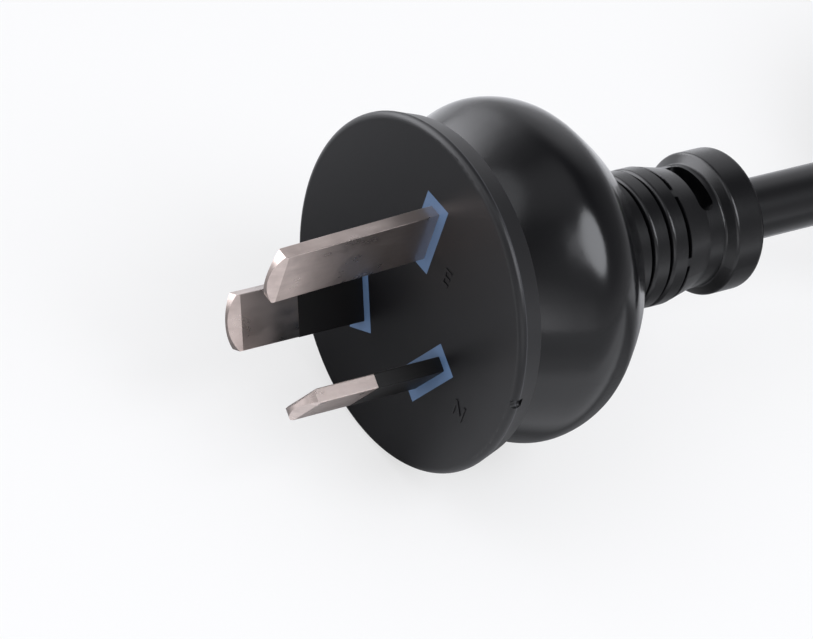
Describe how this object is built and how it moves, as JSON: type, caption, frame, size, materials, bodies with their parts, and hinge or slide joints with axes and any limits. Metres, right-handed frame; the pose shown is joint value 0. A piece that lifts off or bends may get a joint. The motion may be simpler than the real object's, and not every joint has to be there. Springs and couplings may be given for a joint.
{
  "type": "type i plug",
  "caption": "Moulded type I mains plug: slanted flat blades with insulating sleeves, an upright earth blade, round flange, finger bulge, slotted bend relief and a tied cord.",
  "frame": {"origin": "centre of the three blades' pattern on the engagement face", "axes": "-Y the way the blades point, +Y the way the cord leaves, +Z towards the earth blade"},
  "size_m": [0.0616, 0.2159, 0.0403],
  "materials": {
    "overmould": "satin",
    "insert": "satin",
    "blade_metal": "satin, plated",
    "sleeve": "gloss",
    "earth_insulation": "satin",
    "active_insulation": "satin",
    "neutral_insulation": "satin",
    "copper": "bright strands",
    "sheath": "satin",
    "strap": "woven"
  },
  "bodies": {
    "root": {"plug_body": "overmould", "pin_holder": "insert", "earth_pin": "blade_metal", "active_pin": "blade_metal", "neutral_pin": "blade_metal", "active_sleeve": "sleeve", "neutral_sleeve": "sleeve", "earth_core": "earth_insulation", "active_core": "active_insulation", "neutral_core": "neutral_insulation", "earth_conductor": "copper", "active_conductor": "copper", "neutral_conductor": "copper", "cord": "sheath", "cord_hank": "sheath", "cord_tie": "strap", "earth_core_end": "earth_insulation", "active_core_end": "active_insulation", "neutral_core_end": "neutral_insulation", "earth_conductor_end": "copper", "active_conductor_end": "copper", "neutral_conductor_end": "copper"}
  },
  "joints": []
}
